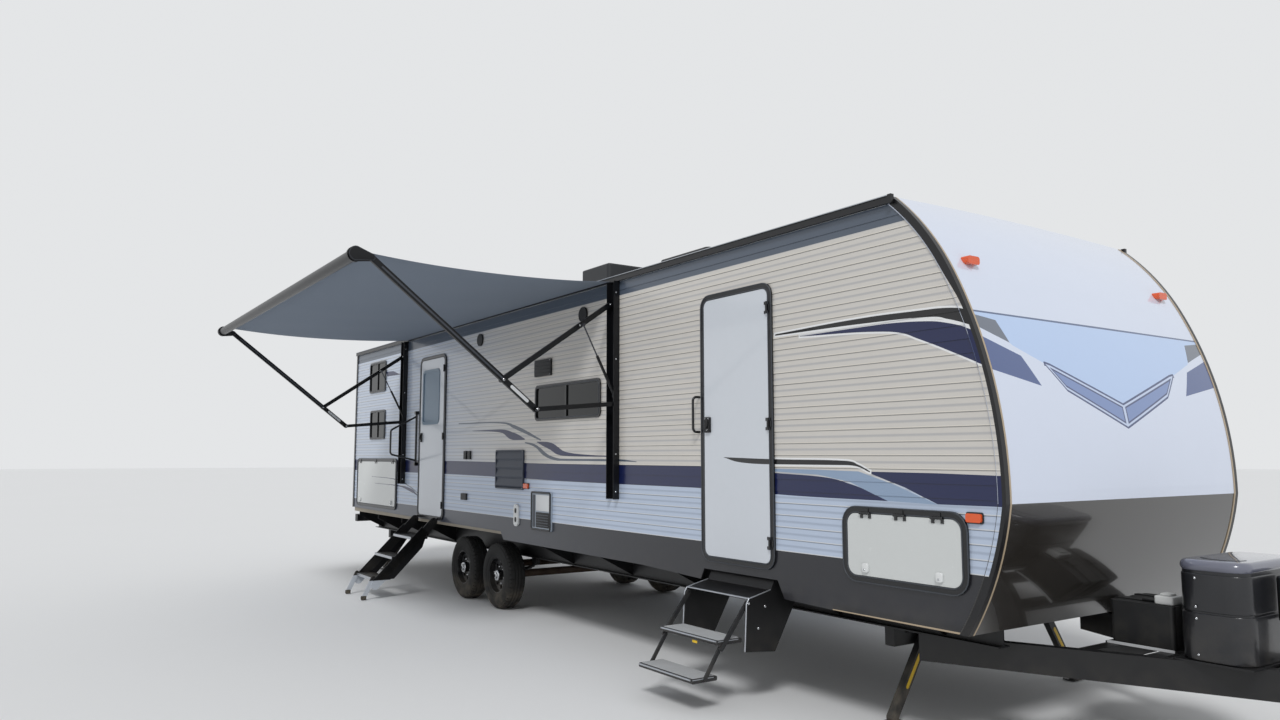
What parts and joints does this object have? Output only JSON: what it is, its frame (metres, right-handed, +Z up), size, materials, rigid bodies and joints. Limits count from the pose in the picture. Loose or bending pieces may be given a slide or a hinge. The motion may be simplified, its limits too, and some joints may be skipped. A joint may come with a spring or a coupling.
{
  "type": "travel caravan",
  "caption": "Long travel caravan with rounded front cap, corrugated sides, side awning, slide-out room, folding steps and side hatches.",
  "frame": {"origin": "middle of the whole footprint at ground level, with awning, slide-out room and steps out", "axes": "+X towards the drawbar, +Y towards the road side away from the doors, +Z up"},
  "size_m": [11.74, 5.558, 3.39],
  "materials": {
    "wall_panel": "satin",
    "siding": "gloss painted",
    "skirt": "gloss painted",
    "cap_white": "gloss",
    "front_dark": "gloss",
    "roof_skin": "matte",
    "floor_panel": "matte",
    "moulding": "satin",
    "frame_steel": "satin",
    "tank_shell": "satin",
    "battery_black": "matte",
    "tyre": "matte",
    "rim": "satin",
    "opening_frame": "satin black",
    "leaf_white": "gloss",
    "hatch_leaf": "gloss",
    "window_glass": "tinted",
    "liner": "satin",
    "slide_wall": "gloss painted",
    "awning_black": "gloss painted",
    "awning_cloth": "woven",
    "strut_black": "satin",
    "strut_steel": "brushed",
    "fitting_black": "satin",
    "service_white": "gloss",
    "lamp_amber": "gloss",
    "ac_white": "satin",
    "vent_black": "satin",
    "step_grey": "satin",
    "leg_steel": "galvanised"
  },
  "bodies": {
    "body": {"wall_curb": "wall_panel", "wall_road": "wall_panel", "wall_rear": "wall_panel", "siding": "siding", "skirts": "skirt", "front_cap": "cap_white", "front_panel": "front_dark", "roof": "roof_skin", "floor": "floor_panel", "mouldings": "moulding", "chassis": "frame_steel", "drawbar": "frame_steel", "tank_cover": "tank_shell", "battery_boxes": "battery_black", "tongue_jack": "frame_steel", "axles": "frame_steel", "springs": "frame_steel", "door_frames": "opening_frame", "wall_brackets": "opening_frame", "window_frames": "opening_frame", "window_panes": "window_glass", "bay_liners": "liner", "vents": "fitting_black", "service_doors": "service_white", "lamps": "lamp_amber", "air_conditioner": "ac_white", "roof_vents": "vent_black", "awning_channels": "awning_black", "awning_fabric": "awning_cloth", "step_carrier": "frame_steel"},
    "door_front": {"door_front": "leaf_white"},
    "door_rear": {"door_rear": "leaf_white", "door_window": "window_glass"},
    "hatch_curb": {"hatch_curb": "hatch_leaf"},
    "hatch_road": {"hatch_road": "hatch_leaf"},
    "hatch_kitchen": {"hatch_kitchen": "hatch_leaf"},
    "slide_room": {"slide_room": "slide_wall", "slide_window": "window_glass"},
    "awning_upper_links": {"awning_upper_links": "awning_black"},
    "awning_arms": {"awning_arms": "awning_black", "awning_roller": "awning_black"},
    "awning_lower_links": {"awning_lower_links": "awning_black"},
    "strut_barrels": {"strut_barrels": "strut_black"},
    "strut_rods": {"strut_rods": "strut_steel"},
    "step_upper": {"step_upper": "step_grey"},
    "step_lower": {"step_lower": "step_grey"},
    "ladder_steps": {"ladder_steps": "step_grey"},
    "hand_rail": {"hand_rail": "strut_black"},
    "wheel_front_curb": {"tyre_front_curb": "tyre", "rim_front_curb": "rim"},
    "leg_front_curb": {"leg_front_curb": "leg_steel"},
    "wheel_front_road": {"tyre_front_road": "tyre", "rim_front_road": "rim"},
    "leg_front_road": {"leg_front_road": "leg_steel"},
    "wheel_rear_curb": {"tyre_rear_curb": "tyre", "rim_rear_curb": "rim"},
    "leg_rear_curb": {"leg_rear_curb": "leg_steel"},
    "wheel_rear_road": {"tyre_rear_road": "tyre", "rim_rear_road": "rim"},
    "leg_rear_road": {"leg_rear_road": "leg_steel"}
  },
  "joints": [
    {"name": "wheel_front_curb_spin", "type": "hinge", "parent": "body", "child": "wheel_front_curb", "pos_m": [-1.298, -0.36945, 0.3315], "axis": [0, 1, 0], "continuous": true},
    {"name": "wheel_front_road_spin", "type": "hinge", "parent": "body", "child": "wheel_front_road", "pos_m": [-1.298, 1.66555, 0.3315], "axis": [0, 1, 0], "continuous": true},
    {"name": "wheel_rear_curb_spin", "type": "hinge", "parent": "body", "child": "wheel_rear_curb", "pos_m": [-2.138, -0.36945, 0.3315], "axis": [0, 1, 0], "continuous": true},
    {"name": "wheel_rear_road_spin", "type": "hinge", "parent": "body", "child": "wheel_rear_road", "pos_m": [-2.138, 1.66555, 0.3315], "axis": [0, 1, 0], "continuous": true},
    {"name": "door_front_hinge", "type": "hinge", "parent": "body", "child": "door_front", "pos_m": [2.9895, -0.59195, 0.861], "axis": [0, 0, 1], "range_deg": [0, 165]},
    {"name": "door_rear_hinge", "type": "hinge", "parent": "body", "child": "door_rear", "pos_m": [-2.4695, -0.59195, 0.861], "axis": [0, 0, 1], "range_deg": [0, 165]},
    {"name": "hatch_curb_hinge", "type": "hinge", "parent": "body", "child": "hatch_curb", "pos_m": [4.039, -0.59195, 1.2225], "axis": [-1, 0, 0], "range_deg": [0, 165]},
    {"name": "hatch_road_hinge", "type": "hinge", "parent": "body", "child": "hatch_road", "pos_m": [4.039, 1.88805, 1.2225], "axis": [1, 0, 0], "range_deg": [0, 165]},
    {"name": "hatch_kitchen_hinge", "type": "hinge", "parent": "body", "child": "hatch_kitchen", "pos_m": [-4.778, -0.59195, 1.4725], "axis": [-1, 0, 0], "range_deg": [0, 170]},
    {"name": "slide_room_slide", "type": "slide", "parent": "body", "child": "slide_room", "axis": [0, -1, 0], "range_m": [0, 0.86]},
    {"name": "awning_fold", "type": "hinge", "parent": "body", "child": "awning_upper_links", "pos_m": [-1.31, -0.60995, 2.79], "axis": [1, 0, 0], "range_deg": [0, 55.37], "deforming": ["awning_fabric"]},
    {"name": "awning_arm_turn", "type": "hinge", "parent": "awning_upper_links", "child": "awning_arms", "pos_m": [-1.31, -1.57995, 2.12], "axis": [1, 0, 0], "range_deg": [-107.67, 0]},
    {"name": "awning_lower_turn", "type": "hinge", "parent": "body", "child": "awning_lower_links", "pos_m": [-1.31, -0.60195, 1.96685], "axis": [1, 0, 0], "range_deg": [0, 84.71]},
    {"name": "strut_turn", "type": "hinge", "parent": "body", "child": "strut_barrels", "pos_m": [-1.31, -0.60195, 2.02985], "axis": [1, 0, 0], "range_deg": [-27.36, 0]},
    {"name": "strut_slide", "type": "slide", "parent": "strut_barrels", "child": "strut_rods", "axis": [0, -0.4692, 0.8831], "range_m": [-0.228, 0]},
    {"name": "step_fold", "type": "hinge", "parent": "body", "child": "step_upper", "pos_m": [2.653, -0.75695, 0.628], "axis": [1, 0, 0], "range_deg": [0, 95]},
    {"name": "step_lower_fold", "type": "hinge", "parent": "step_upper", "child": "step_lower", "pos_m": [2.653, -0.96395, 0.372], "axis": [1, 0, 0], "range_deg": [0, 100.5]},
    {"name": "ladder_fold", "type": "hinge", "parent": "body", "child": "ladder_steps", "pos_m": [-2.862, -0.63695, 0.805], "axis": [-1, 0, 0], "range_deg": [0, 130]},
    {"name": "hand_rail_fold", "type": "hinge", "parent": "body", "child": "hand_rail", "pos_m": [-3.297, -0.59195, 1.448], "axis": [0, 0, -1], "range_deg": [0, 90]},
    {"name": "leg_front_curb_fold", "type": "hinge", "parent": "body", "child": "leg_front_curb", "pos_m": [3.69, 0.00805, 0.455], "axis": [-1, 0, 0], "range_deg": [0, 55]},
    {"name": "leg_front_road_fold", "type": "hinge", "parent": "body", "child": "leg_front_road", "pos_m": [3.69, 1.28805, 0.455], "axis": [1, 0, 0], "range_deg": [0, 55.5]},
    {"name": "leg_rear_curb_fold", "type": "hinge", "parent": "body", "child": "leg_rear_curb", "pos_m": [-5.15, 0.00805, 0.455], "axis": [-1, 0, 0], "range_deg": [0, 55]},
    {"name": "leg_rear_road_fold", "type": "hinge", "parent": "body", "child": "leg_rear_road", "pos_m": [-5.15, 1.28805, 0.455], "axis": [1, 0, 0], "range_deg": [0, 55.5]}
  ],
  "couplings": [
    {"joint": "awning_arm_turn", "follows": "awning_fold", "ratio": -1.9356},
    {"joint": "awning_lower_turn", "follows": "awning_fold", "ratio": 1.5209},
    {"joint": "strut_turn", "follows": "awning_fold", "ratio": -0.48518},
    {"joint": "strut_slide", "follows": "awning_fold", "m_per_rad": -0.23392},
    {"joint": "step_lower_fold", "follows": "step_fold", "ratio": 1.0526},
    {"joint": "leg_front_road_fold", "follows": "leg_front_curb_fold", "ratio": 1},
    {"joint": "leg_rear_road_fold", "follows": "leg_rear_curb_fold", "ratio": 1}
  ]
}
